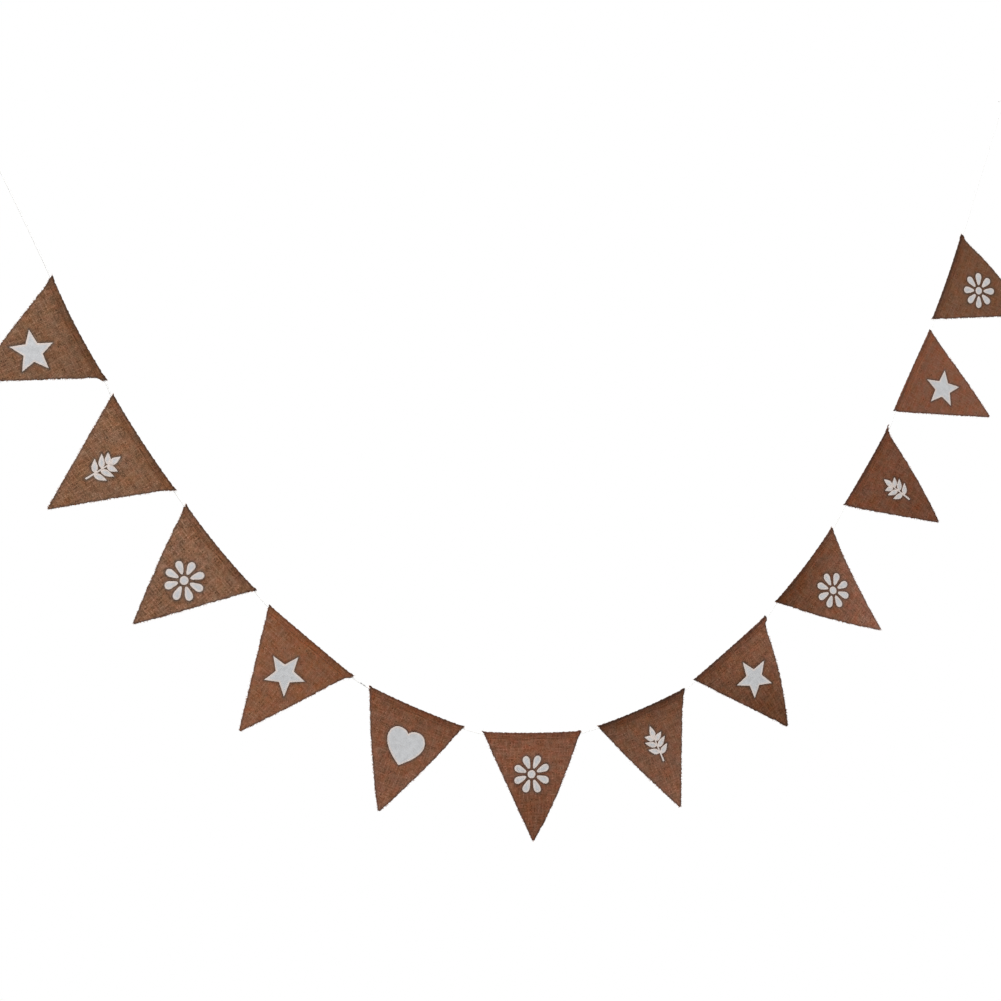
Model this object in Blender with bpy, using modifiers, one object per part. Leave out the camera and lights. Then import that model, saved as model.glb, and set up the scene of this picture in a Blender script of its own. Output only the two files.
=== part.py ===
"""Hessian bunting: twelve triangular pennants threaded on one cotton cord. Metres, +Z up.

The bunting hangs in the XZ plane with its front towards -Y. The origin is the point inside the left end
loop that a hook carries. A pennant has its own flat directions: u runs along the cord to the right, v runs
from the folded top edge towards the tip, and n stands out of the front face.
"""

import math
from collections import namedtuple

import bmesh
import bpy
from mathutils import Matrix, Vector
from mathutils.geometry import interpolate_bezier

MM = 0.001

# Cloth
CLOTH_THICKNESS = 1.2 * MM
TIP_WIDTH = 3.0 * MM  # the raw-cut tip ends bluntly where the pennant is this wide

# Hem: the top of the cloth is folded to the back round the cord and stitched
CORD_DIAMETER = 2.5 * MM
HEM_RADIUS = 2.9 * MM  # to the middle of the cloth, where it turns over the cord
FOLD_DEPTH = HEM_RADIUS + CLOTH_THICKNESS / 2  # from the folded edge to the centre of the turn
CORD_DEPTH = FOLD_DEPTH - 0.2 * MM  # the cloth hangs on the cord, so the cord lies high in the turn
STITCH_DEPTH = 10.5 * MM
HEM_DEPTH = 13.0 * MM  # down to the raw edge of the flap
EAR_DEPTH = 9.0 * MM  # the hem's ends stand out past the cut sides down to here
EAR_END = 10.5 * MM  # and are back in line with them here
LEVEL_DEPTH = 38.0 * MM  # where the front cloth is back in the plane of the cord
FREE_DEPTH = 57.0 * MM  # where the cloth is free to bow, twist and curl
STITCHED_HALF_GAP = 1.0 * MM  # from the cord's plane to the middle of each layer at the stitches
FLAP_LIFT = 0.4 * MM  # how far the flap's raw edge stands off below the stitches

# Steps of the cloth's mesh
COLUMNS = 8
SHEET_STEPS = 8  # from the tip up to LEVEL_DEPTH
TURN_STEPS = 4
CASING_ROWS = [6.2 * MM, EAR_DEPTH, EAR_END]  # depths of the rows on both layers of the hem
LEVEL_ROWS = [19.0 * MM, 28.0 * MM, LEVEL_DEPTH]  # and below it on the front

# How the bunting hangs, a row for each pennant from the left: the middle of its folded edge in mm from the
# origin and its turn in degrees, its width, height and the sideways shift of its tip in mm, how far the
# folded edge sags and each cut side bulges in mm, how far each of the hem's ends stands out past its side in
# mm, and how the cloth leaves its plane in mm: bowed across, twisted from side to side, and curled at the tip.
# The bow and the twist are shared out by BOW_MIDDLE and TWIST_TOP.
BOW_MIDDLE = 0.35  # share of the bow that the middle stands forward, while the sides go back
TWIST_TOP = 0.4  # share of the twist that is there at the top
Pennant = namedtuple(
    "Pennant",
    "x z turn width height tip sag bulge_left bulge_right ear_left ear_right bow twist curl",
)
PENNANTS = [
    Pennant(155, -300.5, -61.6, 176.5, 188, 7, 3.5, 0.5, 0, 2.5, 5.5, 4, 3, -4),
    Pennant(260.5, -478.5, -55.8, 179.5, 187.5, 9, 2.5, 0, -1, 0.5, 3.5, 5, 2, -6),
    Pennant(386.5, -645, -49.5, 176, 188, 4, 3.5, 2.5, 0.5, 2, 1.5, 4, 3, -3),
    Pennant(535, -792.5, -39.1, 178.5, 189.5, 2, 0.5, 0, 1.5, 0, 5, 2, -2, 4),
    Pennant(717, -902.5, -22.7, 176, 185, 4, 2.5, 3, 4, 1, 1.5, -3, 2, 6),
    Pennant(921, -946.5, -0.4, 175, 186.5, 4.5, 2.5, 0.5, 6, 0, 1.5, 3, 1, -4),
    Pennant(1123, -908, 21, 174, 188.5, 3.5, 3, 2.5, 1, 0, 3.5, 4, -4, 8),
    Pennant(1292.5, -807.5, 38.2, 173.5, 184, 8.5, 0.5, -0.5, 6, 0, 8, 3, 5, -8),
    Pennant(1445, -655.5, 49.3, 177, 197, 13.5, 3.5, 4.5, -2, 1.5, 1.5, -3, -7, 5),
    Pennant(1575, -476, 56.8, 168.5, 186, 5, 1.5, 0.5, 3, 0, 2, 4, 4, -5),
    Pennant(1677, -291.5, 62.7, 176, 186.5, 5.5, -1, 0.5, 3.5, 0, 3, 2, -3, 3),
    Pennant(1756.5, -111, 67.8, 174, 189, 12, 2, 0, 6, 0, 3.5, 3, 4, -5),
]

# Cord: the casings hold it along their sag, and past the end pennants it runs to a knotted loop. Each end
# row has the hook's place in mm from the origin and the way the loop points, in degrees from +X.
END_LOOPS = {"end_loop_left": (0, 0, 116.2), "end_loop_right": (1909.5, 292.5, 70.3)}
CASING_STEPS = 3
GAP_STEPS = 3
TAIL_STEPS = 4
CORD_FACETS = 2  # Blender's bevel resolution, which gives eight sides
JOINT_GAP = 0.3 * MM

# End loop, along its own axis from the middle of the knot, with the hook's point at HOOK_REACH
HOOK_REACH = 36.0 * MM
EYE = [(-2.0, 1.4), (3.5, 1.5), (12.0, 4.4), (23.0, 6.9), (32.0, 6.4), (38.0, 3.7), (40.0, 0.0)]
EYE_STEPS = 2
KNOT_TURNS = [(-3.0, 14), (-0.4, -24), (2.2, 14)]  # place along the axis in mm and lean in degrees
KNOT_RADIUS = 2.7 * MM
KNOT_CORD_RADIUS = 1.375 * MM  # the turns are pulled into one lump, so they are a little fatter than the cord
KNOT_SEGMENTS = (12, 6)  # round a turn and round its cord
STUB_END = -9.0 * MM
TAIL = [(-1.0, 0.6), (-7.0, 4.4), (-15.0, 6.2), (-24.0, 9.4)]
WELD = 0.01 * MM  # a tube's cap is joined to its wall where they are closer than this

COLOURS = {"hessian": (0.19, 0.092, 0.054, 1.0), "cotton": (0.78, 0.76, 0.72, 1.0)}


def material(name, roughness):
    made = bpy.data.materials.new(name)
    made.use_nodes = True
    made.diffuse_color = COLOURS[name]
    shader = made.node_tree.nodes["Principled BSDF"]
    shader.inputs["Base Color"].default_value = COLOURS[name]
    shader.inputs["Roughness"].default_value = roughness
    shader.inputs["Metallic"].default_value = 0.0
    return made


def collection(name):
    made = bpy.data.collections.new(name)
    bpy.context.scene.collection.children.link(made)
    return made


def smooth(t):
    """Ease from 0 to 1."""
    t = min(max(t, 0.0), 1.0)
    return t * t * (3 - 2 * t)


def world(pennant, u, v, n):
    turn = math.radians(pennant.turn)
    x = pennant.x * MM + u * math.cos(turn) + v * math.sin(turn)
    z = pennant.z * MM + u * math.sin(turn) - v * math.cos(turn)
    return Vector((x, -n, z))


def lift(depth):
    """How far the front layer's middle stands in front of the cord's plane, by the hem alone."""
    if depth < STITCH_DEPTH:
        closed = smooth((depth - FOLD_DEPTH) / (STITCH_DEPTH - FOLD_DEPTH))
        return HEM_RADIUS + (STITCHED_HALF_GAP - HEM_RADIUS) * closed
    return STITCHED_HALF_GAP * (1 - smooth((depth - STITCH_DEPTH) / (LEVEL_DEPTH - STITCH_DEPTH)))


def hem_rows(pennant):
    """The cloth's rows from the tip, over the cord and down the flap: depth and lift."""
    tip_depth = pennant.height * (MM - TIP_WIDTH / pennant.width)
    rows = []
    for i in range(SHEET_STEPS):
        rows.append((tip_depth + (LEVEL_DEPTH - tip_depth) * i / SHEET_STEPS, 0.0))
    for depth in reversed(CASING_ROWS + LEVEL_ROWS):
        rows.append((depth, lift(depth)))
    for i in range(TURN_STEPS + 1):
        angle = math.pi * i / TURN_STEPS
        rows.append((FOLD_DEPTH - HEM_RADIUS * math.sin(angle), HEM_RADIUS * math.cos(angle)))
    for depth in CASING_ROWS:
        rows.append((depth, -lift(depth)))
    rows.append((HEM_DEPTH, -STITCHED_HALF_GAP - FLAP_LIFT))
    return rows


def out_of_plane(pennant, u, depth):
    """The pennant's own bow, twist and curl, which fade out at the cord."""
    side = 2 * u / (pennant.width * MM)
    down = depth / (pennant.height * MM)
    free = smooth((depth - FOLD_DEPTH) / (FREE_DEPTH - FOLD_DEPTH))
    bow = pennant.bow * (BOW_MIDDLE - side * side)
    twist = pennant.twist * side * (TWIST_TOP + down)
    curl = pennant.curl * down * down
    return (bow + twist + curl) * MM * free


def cloth_point(pennant, across, row):
    """A point in the middle of the cloth's thickness: across runs from -1 at the left side to 1."""
    depth, lifted = row
    down = depth / (pennant.height * MM)
    half = pennant.width * MM / 2 * (1 - down)
    arc = 4 * down * (1 - down)
    slant = math.hypot(pennant.height, pennant.width / 2) / pennant.height
    ear = min(max((EAR_END - depth) / (EAR_END - EAR_DEPTH), 0.0), 1.0)
    left = -half - (pennant.bulge_left * arc * slant + pennant.ear_left * ear) * MM
    right = half + (pennant.bulge_right * arc * slant + pennant.ear_right * ear) * MM
    u = pennant.tip * MM * down + left + (right - left) * (across + 1) / 2
    side = 2 * u / (pennant.width * MM)
    sag = pennant.sag * MM * (1 - side * side) * (1 - down) ** 2
    return world(pennant, u, depth + sag, lifted + out_of_plane(pennant, u, depth))


def make_pennant(name, pennant, cloth, parts):
    rows = hem_rows(pennant)
    steps = len(rows) - 1
    mesh = bpy.data.meshes.new(name)
    grid = bmesh.new()
    bmesh.ops.create_grid(grid, x_segments=COLUMNS, y_segments=steps, size=1.0)
    for vertex in grid.verts:
        row = rows[round((vertex.co.y + 1) / 2 * steps)]
        vertex.co = cloth_point(pennant, vertex.co.x, row)
    grid.to_mesh(mesh)
    grid.free()
    mesh.shade_smooth()
    mesh.materials.append(cloth)
    piece = bpy.data.objects.new(name, mesh)
    parts.objects.link(piece)
    thick = piece.modifiers.new("thickness", "SOLIDIFY")
    thick.thickness = CLOTH_THICKNESS
    thick.offset = 0.0
    return piece


def loop_frame(place):
    """The end loop's matrix: X along the loop, Y across it in the bunting's plane, Z out of the front."""
    x, z, angle = place
    way = math.radians(angle)
    along = Vector((math.cos(way), 0, math.sin(way)))
    front = Vector((0, -1, 0))
    across = front.cross(along)
    turned = Matrix((along, across, front)).transposed().to_4x4()
    return Matrix.Translation(Vector((x * MM, 0, z * MM)) - along * HOOK_REACH) @ turned


def cord_route():
    """Points of the cord and its direction there: loop, both mouths of every casing, loop."""
    left, right = (loop_frame(place) for place in END_LOOPS.values())
    route = [(left @ Vector((STUB_END - JOINT_GAP, 0, 0)), -left.col[0].to_3d())]
    for pennant in PENNANTS:
        for way, ear in ((-1, pennant.ear_left), (1, pennant.ear_right)):
            side = way * (1 + 2 * ear / pennant.width)
            mouth = side * pennant.width / 2 * MM
            depth = CORD_DEPTH + pennant.sag * MM * (1 - side * side)
            point = world(pennant, mouth, depth, 0)
            direction = world(pennant, mouth + 1, depth - 4 * pennant.sag / pennant.width * side, 0) - point
            route.append((point, direction.normalized()))
    route.append((right @ Vector((STUB_END - JOINT_GAP, 0, 0)), right.col[0].to_3d()))
    return route


def smooth_route(route):
    """The route's smooth curve as a list of points."""
    points = [route[0][0]]
    last = len(route) - 2
    for i in range(last + 1):
        (start, leaving), (end, arriving) = route[i], route[i + 1]
        reach = (end - start).length / 3
        steps = TAIL_STEPS if i in (0, last) else CASING_STEPS if i % 2 else GAP_STEPS
        points += interpolate_bezier(start, start + leaving * reach, end - arriving * reach, end, steps + 1)[1:]
    return points


def tube(name, points, parts):
    """A cord-thick curve object through the points, with filled caps."""
    curve = bpy.data.curves.new(name, "CURVE")
    curve.dimensions = "3D"
    curve.bevel_depth = CORD_DIAMETER / 2
    curve.bevel_resolution = CORD_FACETS
    curve.render_resolution_u = 0
    curve.use_fill_caps = True
    spline = curve.splines.new("POLY")
    spline.points.add(len(points) - 1)
    for spot, point in zip(spline.points, points):
        spot.co = (*point, 1.0)
        spot.radius = 1.0
    spline.use_smooth = True
    piece = bpy.data.objects.new(name, curve)
    parts.objects.link(piece)
    return piece


def as_mesh(piece, parts):
    """The tube as a closed mesh object, which a Boolean can use."""
    bpy.context.view_layer.update()
    mesh = bpy.data.meshes.new_from_object(piece.evaluated_get(bpy.context.evaluated_depsgraph_get()))
    closed = bmesh.new()
    closed.from_mesh(mesh)
    bmesh.ops.remove_doubles(closed, verts=closed.verts, dist=WELD)
    closed.to_mesh(mesh)
    closed.free()
    made = bpy.data.objects.new("mesh", mesh)
    made.matrix_world = piece.matrix_world.copy()
    parts.objects.link(made)
    name, curve = piece.name, piece.data
    bpy.data.objects.remove(piece)
    bpy.data.curves.remove(curve)
    made.name = name
    return made


def in_mm(points):
    return [Vector((along * MM, across * MM, 0)) for along, across in points]


def soft_line(points, steps):
    """A smooth line through the points, steps to each span."""
    line = [points[0]]
    for i in range(len(points) - 1):
        before = points[max(i - 1, 0)]
        after = points[min(i + 2, len(points) - 1)]
        first = points[i] + (points[i + 1] - before) / 6
        second = points[i + 1] - (after - points[i]) / 6
        line += interpolate_bezier(points[i], first, second, points[i + 1], steps + 1)[1:]
    return line


def make_end_loop(name, place, cotton, parts, helpers):
    """An eye of doubled cord with its knot, the stub that the cord runs on from, and the free tail."""
    frame = loop_frame(place)
    half = in_mm(EYE)
    eye_line = half + [Vector((p.x, -p.y, 0)) for p in reversed(half[:-1])]
    eye = as_mesh(tube(name, [frame @ p for p in soft_line(eye_line, EYE_STEPS)], parts), parts)
    stub = [frame @ Vector((STUB_END, 0, 0)), frame @ Vector((0, 0, 0))]
    joined = [as_mesh(tube(name + "_stub", stub, helpers), helpers)]
    tail = [frame @ p for p in soft_line(in_mm(TAIL), EYE_STEPS)]
    joined.append(as_mesh(tube(name + "_tail", tail, helpers), helpers))
    for along, lean in KNOT_TURNS:
        bpy.ops.mesh.primitive_torus_add(
            major_radius=KNOT_RADIUS,
            minor_radius=KNOT_CORD_RADIUS,
            major_segments=KNOT_SEGMENTS[0],
            minor_segments=KNOT_SEGMENTS[1],
        )
        turn = bpy.context.object
        turn.name = name + "_turn"
        upright = Matrix.Rotation(math.radians(90 + lean), 4, "Y")
        turn.matrix_world = frame @ Matrix.Translation((along * MM, 0, 0)) @ upright
        for owner in turn.users_collection:
            owner.objects.unlink(turn)
        helpers.objects.link(turn)
        joined.append(turn)
    for helper in joined:
        helper.hide_render = True
        helper.display_type = "WIRE"
        union = eye.modifiers.new("join", "BOOLEAN")
        union.operation = "UNION"
        union.object = helper
        union.solver = "MANIFOLD"  # the exact solver leaves slits where the thin turns cross
    eye.data.materials.clear()
    eye.data.materials.append(cotton)
    eye.data.shade_smooth()
    return eye


def main():
    for old in list(bpy.data.objects):
        bpy.data.objects.remove(old)
    parts = collection("bunting")
    helpers = collection("bunting_helpers")
    cloth = material("hessian", 0.9)
    cotton = material("cotton", 0.8)
    for number, pennant in enumerate(PENNANTS, 1):
        make_pennant(f"pennant_{number:02}", pennant, cloth, parts)
    cord = tube("cord", smooth_route(cord_route()), parts)
    cord.data.materials.append(cotton)
    for name, place in END_LOOPS.items():
        make_end_loop(name, place, cotton, parts, helpers)


main()
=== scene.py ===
import math
from collections import namedtuple

import bpy
import numpy as np
from mathutils import Matrix, Vector
from mathutils.geometry import delaunay_2d_cdt, interpolate_bezier
from mathutils.kdtree import KDTree


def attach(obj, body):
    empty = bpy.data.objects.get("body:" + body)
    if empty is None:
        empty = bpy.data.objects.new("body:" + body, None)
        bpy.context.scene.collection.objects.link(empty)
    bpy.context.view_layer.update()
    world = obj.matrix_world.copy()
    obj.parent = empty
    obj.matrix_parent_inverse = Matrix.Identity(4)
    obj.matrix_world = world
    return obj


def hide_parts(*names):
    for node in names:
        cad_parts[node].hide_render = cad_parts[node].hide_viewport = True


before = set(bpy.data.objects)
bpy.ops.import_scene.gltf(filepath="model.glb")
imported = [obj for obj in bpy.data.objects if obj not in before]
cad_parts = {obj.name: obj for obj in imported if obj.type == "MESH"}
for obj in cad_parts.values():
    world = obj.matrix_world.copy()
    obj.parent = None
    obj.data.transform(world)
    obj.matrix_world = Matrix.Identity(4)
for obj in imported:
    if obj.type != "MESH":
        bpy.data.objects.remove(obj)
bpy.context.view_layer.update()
mm = 0.001  # lengths below are in millimetres unless they say metres
chance = np.random.default_rng(7)

# How each pennant hangs, as in the part: the middle of its folded edge and its turn in degrees, its width,
# height and tip shift, the sag of its top, the bulge of its sides, how far the hem's ends stand out (measured
# more closely here than in the part), and how the cloth leaves its plane.
Hanging = namedtuple("Hanging", ("x z turn width height tip sag bulgeLeft bulgeRight earLeft earRight "
                                 "bow twist curl"))
pennants = {
    "pennant_01": Hanging(155, -300.5, -61.6, 176.5, 188, 7, 3.5, 0.5, 0, 3, 6, 4, 3, -4),
    "pennant_02": Hanging(260.5, -478.5, -55.8, 179.5, 187.5, 9, 2.5, 0, -1, 0.5, 2.5, 5, 2, -6),
    "pennant_03": Hanging(386.5, -645, -49.5, 176, 188, 4, 3.5, 2.5, 0.5, 2, 1.5, 4, 3, -3),
    "pennant_04": Hanging(535, -792.5, -39.1, 178.5, 189.5, 2, 0.5, 0, 1.5, 0, 5, 2, -2, 4),
    "pennant_05": Hanging(717, -902.5, -22.7, 176, 185, 4, 2.5, 3, 4, 1, 1.5, -3, 2, 6),
    "pennant_06": Hanging(921, -946.5, -0.4, 175, 186.5, 4.5, 2.5, 0.5, 6, 0, 1.5, 3, 1, -4),
    "pennant_07": Hanging(1123, -908, 21, 174, 188.5, 3.5, 3, 2.5, 1, 0, 2, 4, -4, 8),
    "pennant_08": Hanging(1292.5, -807.5, 38.2, 173.5, 184, 8.5, 0.5, -0.5, 6, 0, 8, 3, 5, -8),
    "pennant_09": Hanging(1445, -655.5, 49.3, 177, 197, 13.5, 3.5, 4.5, -2, 1, 1, -3, -7, 5),
    "pennant_10": Hanging(1575, -476, 56.8, 168.5, 186, 5, 1.5, 0.5, 3, -1, 2, 4, 4, -5),
    "pennant_11": Hanging(1677, -291.5, 62.7, 176, 186.5, 5.5, -1, 0.5, 3.5, -1.5, 1, 2, -3, 3),
    "pennant_12": Hanging(1756.5, -111, 67.8, 174, 189, 12, 2, 0, 6, 0, 5, 3, 4, -5),
}
# The looks of each: the printed motif and its middle below the folded edge, the cloth's colour, how much
# painted shade darkens the doubled hem and the fold's edge, how painted shading runs to the right and down,
# and how uneven the yarns are.
Finish = namedtuple("Finish", "motif across down colour hemDark foldDark fadeRight fadeDown uneven")
finishes = {
    "pennant_01": Finish("star", 4.5, 82, "#74533d", 0.28, 0.44, -0.01, 0.13, 1.02),
    "pennant_02": Finish("sprig", 0.7, 76, "#7a5740", 0.25, 0.49, 0.01, 0.02, 1.03),
    "pennant_03": Finish("daisy", 3, 79, "#7b5842", 0.24, 0.46, 0.02, -0.02, 1.17),
    "pennant_04": Finish("star", 2.6, 70, "#7d523a", 0.09, 0.44, -0.02, 0.15, 0.66),
    "pennant_05": Finish("heart", 5.5, 69.4, "#764e39", 0.13, 0.48, 0.00, 0.20, 0.81),
    "pennant_06": Finish("daisy", 0, 71, "#774d38", 0.16, 0.44, 0.01, -0.32, 0.83),
    "pennant_07": Finish("sprig", 4, 67, "#714c38", 0.30, 0.65, 0.05, 0.39, 0.77),
    "pennant_08": Finish("star", 8, 71, "#6e4833", 0.23, 0.60, 0.15, -0.50, 0.92),
    "pennant_09": Finish("daisy", 3.5, 74, "#734c38", 0.07, 0.57, 0.18, 0.74, 0.80),
    "pennant_10": Finish("sprig", 3.7, 75, "#6d4531", 0.09, 0.66, -0.00, -0.04, 0.72),
    "pennant_11": Finish("star", 2.3, 73, "#784e3a", -0.04, 0.55, 0.04, 0.15, 0.37),
    "pennant_12": Finish("daisy", 8, 72, "#6e4b36", 0.16, 0.63, -0.05, 0.10, 0.57),
}


def linear(hexColour):
    parts = [int(hexColour[i : i + 2], 16) / 255 for i in (1, 3, 5)]
    return (*(c / 12.92 if c <= 0.04045 else ((c + 0.055) / 1.055) ** 2.4 for c in parts), 1.0)


def addNode(tree, kind, inputs=(), out=0, **settings):  # adds a node and gives one of its outputs
    node = tree.nodes.new(kind)
    for name, value in settings.items():
        setattr(node, name, value)
    for socket, value in dict(inputs).items():
        if isinstance(value, bpy.types.NodeSocket):
            tree.links.new(value, node.inputs[socket])
        else:
            node.inputs[socket].default_value = value
    return node.outputs[out] if node.outputs else node


def linked(name, mesh):  # an object in the scene, with its place in its mesh
    piece = bpy.data.objects.new(name, mesh)
    bpy.context.scene.collection.objects.link(piece)
    return piece


def addValues(mesh, name, kind, values):  # one for each vertex, for a tree or a material to read
    field = {"FLOAT": "value", "FLOAT_VECTOR": "vector", "FLOAT_COLOR": "color"}[kind]
    attribute = mesh.attributes.new(name, kind, "POINT")
    attribute.data.foreach_set(field, values.astype(np.float32).ravel())


def addFlatPlaces(mesh, name, places):  # a UV map from a flat place for each vertex
    corners = np.zeros(len(mesh.loops), np.int32)
    mesh.loops.foreach_get("vertex_index", corners)
    uv = mesh.uv_layers.new(name=name)
    uv.uv.foreach_set("vector", places[corners].astype(np.float32).ravel())


# The cloth's shape. A flat point of the cut piece is u across and s along, from the flap's raw edge over the
# cord to the tip, and it is hung as the part's solid is.
cloth = {
    "thickness": 1.2,
    "yarnPitch": 2.4,  # between neighbouring yarns, ten and a half to the inch as in coarse hessian
    "relief": 0.17,  # half the height from a crossing's top to the hole beside it
    "alternation": 0.05,  # how much higher a crossing stands where the warp is on top
    "slubs": 0.5,  # share by which a yarn's thickness varies along it
    "slubWaves": (8.7, 7.9),  # along the warp and the weft
    "slubShifts": (2.4, 1.9),  # from one yarn to the next, so that neighbours swell in other places
    "slubMix": 5,  # how far they may be out of step, in radians
    "wander": 0.9,  # how far a yarn strays from its straight line
    "wanderWaves": (19, 27, 21, 25),
    "wanderFrom": 12,  # in from the cut edges
    "ragged": 0.35,  # how far the cut edge jumps from one yarn to the next
    "wavy": 0.4,  # how far it strays over a few yarns
    "wavyRows": 9,
    "calmSpan": 14,  # a narrower row strays less
    "margin": 0.75,  # the grid of crossings and holes keeps this far inside the cut
    "pinch": 0.7,  # a cut edge is pinched flat
    "tipWidth": 3.0,
    "shadingWays": (0.88, 1.05, 1.45),  # how strongly red, green and blue follow the painted shading across and down
    "shadingAcross": 1.6,
    "leastTone": 0.2,
    "shadingMiddle": 0.35,  # how far down, as a share of the height, the painted shading is neither darker nor paler
}
hem = {
    "radius": 2.1,  # to the middle of the cloth, where it turns over the cord
    "stitchDepth": 10.5,
    "depth": 13.0,  # down to the flap's raw edge
    "earDepth": 6.0,  # the hem's ends stand out past the cut sides down to here
    "earEnd": 10.0,  # most of that is gone here
    "flareEnd": 22.0,  # and the rest here
    "flare": 0.3,
    "pulledWide": 2.3,  # where a yarn has drawn the fold's end out
    "pulledRise": 1.2,
    "pulledFrom": 3,  # past the cloth's own width, and all of it after this much more
    "pulledOver": 7,
    "cornerRise": 0.9,  # the corners of the fold point up a little
    "cornerFrom": 0.92,  # as a share of the half width, and all of it after this much more
    "cornerOver": 0.08,
    "cornerDepth": 12,
    "levelDepth": 38.0,  # where the front is back in the cord's plane
    "freeDepth": 57.0,  # where the cloth is free to bow, twist and curl
    "stitchedHalfGap": 0.9,
    "flapLift": 0.4,
    "buckle": 1.2,  # how far the fold's edge stands up unevenly, because stiff yarns don't turn alike
    "buckleShares": (0.25, 0.55),  # even and uneven
    "buckleWaves": (1.4, 2.3, 0.93),
    "foldShadeAbove": 1.2,  # the painted shade on the fold's edge is darkest this far before the front begins
    "foldShadeWide": 2.2,
    "foldShadeTint": (1.0, 0.9, 0.7),  # how strongly red, green and blue take the painted shade on the fold's edge
    "hemShadeDepth": 12.3,  # the painted shade on the doubled hem fades from here, over this much more
    "hemShadeFade": 4.7,
    "hemShadeTint": (1.1, 1.0, 0.91),  # the painted shade there is warmer too, because no light comes through the doubled cloth
    "creaseDepth": 6.8,  # the front sinks in a little under the cord
    "crease": 0.25,
    "creaseShares": (0.65, 0.35),
    "creaseWide": 1.7,
    "creaseWave": 13,
    "pucker": 0.15,  # the cloth is drawn in at each stitch
    "puckerShares": (0.55, 0.45),
    "puckerWide": 2.2,
    "puckerPitch": 4.4,
    "bowMiddle": 0.35,
    "twistTop": 0.4,
}
pulledEnds = {  # how far a yarn has drawn the fold's left and right ends out
    pennants["pennant_06"]: (2.5, 0),
    pennants["pennant_10"]: (0, 10.0),
}
foldDepth = hem["radius"] + cloth["thickness"] / 2  # from the folded edge to the middle of the cord's turn
flapLong = hem["depth"] - foldDepth
turnLong = math.pi * hem["radius"]
frontStart = flapLong + turnLong  # where the front begins
gridStep = cloth["yarnPitch"] / 2  # crossings and holes both get a vertex


def ease(t):
    t = np.clip(t, 0.0, 1.0)
    return t * t * (3 - 2 * t)


def hemLift(depth):
    closed = ease((depth - foldDepth) / (hem["stitchDepth"] - foldDepth))
    level = ease((depth - hem["stitchDepth"]) / (hem["levelDepth"] - hem["stitchDepth"]))
    above = hem["radius"] + (hem["stitchedHalfGap"] - hem["radius"]) * closed
    return np.where(depth < hem["stitchDepth"], above, hem["stitchedHalfGap"] * (1 - level))


def turnAngle(s):  # half a turn over the cord, from the front's side
    return math.pi * np.clip(1 - (s - flapLong) / turnLong, 0, 1)


def alongCloth(s):  # depth below the folded edge, and lift from the cord's plane
    angle = turnAngle(s)
    depth = foldDepth - hem["radius"] * np.sin(angle)
    depth = depth + np.maximum(s - frontStart, 0) + np.maximum(flapLong - s, 0)
    loose = np.maximum(0, (depth - hem["stitchDepth"]) / (hem["depth"] - hem["stitchDepth"]))
    flapLifted = -hemLift(np.minimum(depth, hem["stitchDepth"])) - hem["flapLift"] * loose
    lifted = np.where(s < flapLong, flapLifted, hem["radius"] * np.cos(angle))
    lifted = np.where(s > frontStart, hemLift(depth), lifted)
    return depth, lifted


def cutSides(p, s):
    depth, _ = alongCloth(s)
    down = depth / p.height
    half = p.width / 2 * (1 - down)
    arc = 4 * down * (1 - down) * math.hypot(p.height, p.width / 2) / p.height
    past = depth - hem["earDepth"]
    ear = (1 - hem["flare"]) * (1 - ease(past / (hem["earEnd"] - hem["earDepth"])))
    ear = ear + hem["flare"] * (1 - np.clip(past / (hem["flareEnd"] - hem["earDepth"]), 0, 1))
    pulled = np.exp(-(((s - frontStart + turnLong / 2) / hem["pulledWide"]) ** 2))
    pullLeft, pullRight = pulledEnds.get(p, (0, 0))
    left = p.tip * down - half - p.bulgeLeft * arc - p.earLeft * ear - pullLeft * pulled
    right = p.tip * down + half + p.bulgeRight * arc + p.earRight * ear + pullRight * pulled
    return left, right


def clothLength(p):
    return frontStart + p.height * (1 - cloth["tipWidth"] / p.width) - foldDepth


def sideRows(p, count):  # rows down the cloth, with both cut sides there
    rows = np.linspace(0, clothLength(p), count)
    return (rows, *cutSides(p, rows))


def cutDistance(p, u, s):  # to the nearest cut edge
    left, right = cutSides(p, s)
    slant = math.cos(math.atan2(p.width / 2, p.height))
    return np.minimum(np.minimum(u - left, right - u) * slant, np.minimum(s, clothLength(p) - s))


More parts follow.
